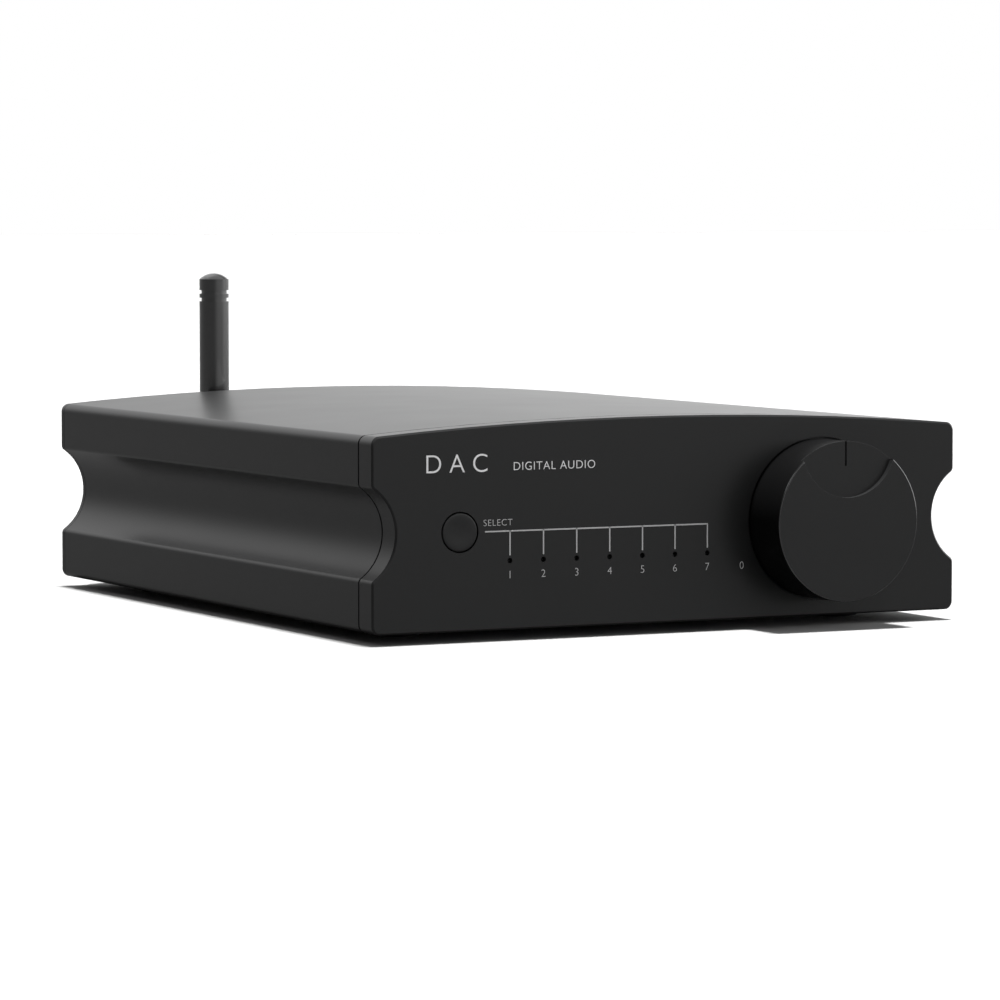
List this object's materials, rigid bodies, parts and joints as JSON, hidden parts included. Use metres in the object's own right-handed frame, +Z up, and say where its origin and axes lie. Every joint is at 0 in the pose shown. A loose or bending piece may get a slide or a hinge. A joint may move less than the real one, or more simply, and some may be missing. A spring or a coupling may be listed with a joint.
{
  "type": "desktop digital-to-analogue converter",
  "caption": "Desktop audio converter in a crowned extruded metal sleeve with scooped sides, a large front volume knob, an input button, indicator holes and a hinged rear antenna.",
  "frame": {"origin": "centre of the bounding box's underside, on the surface that the feet stand on", "axes": "+X to the right as seen from the front, +Y to the rear, +Z up"},
  "size_m": [0.145, 0.2084, 0.076],
  "materials": {
    "case_black": "black anodised, fine bead-blasted",
    "plate_steel": "zinc plated sheet",
    "screw_black": "black oxide",
    "screw_plain": "zinc plated",
    "rubber_black": "matte",
    "plastic_black": "fine moulded grain",
    "antenna_black": "satin moulded",
    "gold": "gold flash plated",
    "nickel": "bright nickel",
    "plastic_white": "satin",
    "plastic_red": "satin",
    "plastic_orange": "satin",
    "light_clear": "polished acrylic",
    "lamp_white": "clear cap",
    "board_green": "solder mask",
    "chip_black": "moulded epoxy",
    "can_dark": "sleeved can",
    "film_red": "dipped",
    "sink_black": "black anodised"
  },
  "bodies": {
    "chassis": {"body_sleeve": "case_black", "front_panel": "case_black", "rear_panel": "case_black", "front_subplate": "plate_steel", "subplate_screws": "screw_plain", "front_panel_screws": "screw_plain", "rear_panel_screws": "screw_black", "rubber_feet": "rubber_black", "potentiometer": "plastic_black", "pot_washer": "screw_plain", "pot_nut": "screw_plain", "tact_switch": "plastic_black", "light_pipe": "light_clear", "indicator_lamps": "lamp_white", "control_board": "board_green", "board_spacers": "gold", "spacer_screws": "screw_plain", "board_header": "plastic_black", "phono_shells": "gold", "phono_left_insulator": "plastic_white", "phono_right_insulator": "plastic_red", "phono_coax_insulator": "plastic_orange", "phono_housings": "plastic_black", "balanced_jacks": "plastic_black", "balanced_nuts": "nickel", "jack_contacts": "gold", "usb_shell": "nickel", "usb_insert": "plastic_white", "usb_contacts": "gold", "optical_housing": "plastic_black", "optical_receiver": "light_clear", "power_inlet": "plastic_black", "power_inlet_pin": "nickel", "switch_housing": "plastic_black", "antenna_socket": "gold", "antenna_nut": "gold", "antenna_coupling": "gold", "antenna_lead": "plastic_black", "main_board": "board_green", "radio_module": "board_green", "radio_shield": "nickel", "converter_chips": "chip_black", "clock_crystals": "nickel", "output_amplifiers": "chip_black", "output_relays": "plastic_white", "film_capacitors": "film_red", "filter_capacitors": "can_dark", "supply_inductor": "chip_black", "heat_sink": "sink_black"},
    "knob": {"volume_knob": "case_black", "knob_set_screw": "screw_black", "pot_shaft": "plate_steel"},
    "button": {"input_button": "case_black", "tact_plunger": "plastic_white"},
    "antenna_base": {"antenna_elbow": "antenna_black", "antenna_hinge_pin": "nickel"},
    "antenna_arm": {"antenna_mast": "antenna_black", "antenna_element": "gold"},
    "rocker": {"power_rocker": "plastic_black"},
    "flap": {"optical_flap": "plastic_black"}
  },
  "joints": [
    {"name": "volume_turn", "type": "hinge", "parent": "chassis", "child": "knob", "pos_m": [0.0375, -0.09169, 0.024], "axis": [0, 1, 0], "range_deg": [-150, 150]},
    {"name": "input_press", "type": "slide", "parent": "chassis", "child": "button", "axis": [0, 1, 0], "range_m": [0, 0.0005], "stiffness_N_per_m": 1200, "springref_m": -0.0004},
    {"name": "antenna_swivel", "type": "hinge", "parent": "chassis", "child": "antenna_base", "pos_m": [-0.0251, 0.09591, 0.035], "axis": [0, 1, 0], "range_deg": [-90, 90]},
    {"name": "antenna_tilt", "type": "hinge", "parent": "antenna_base", "child": "antenna_arm", "pos_m": [-0.0251, 0.10051, 0.035], "axis": [-1, 0, 0], "range_deg": [0, 90]},
    {"name": "power_toggle", "type": "hinge", "parent": "chassis", "child": "rocker", "pos_m": [0.057, 0.08501, 0.021], "axis": [-1, 0, 0], "range_deg": [0, 16]},
    {"name": "optical_shutter", "type": "hinge", "parent": "chassis", "child": "flap", "pos_m": [0.016, 0.08491, 0.02025], "axis": [-1, 0, 0], "range_deg": [0, 85], "stiffness_Nm_per_rad": 0.0005, "springref_deg": -17.19}
  ]
}
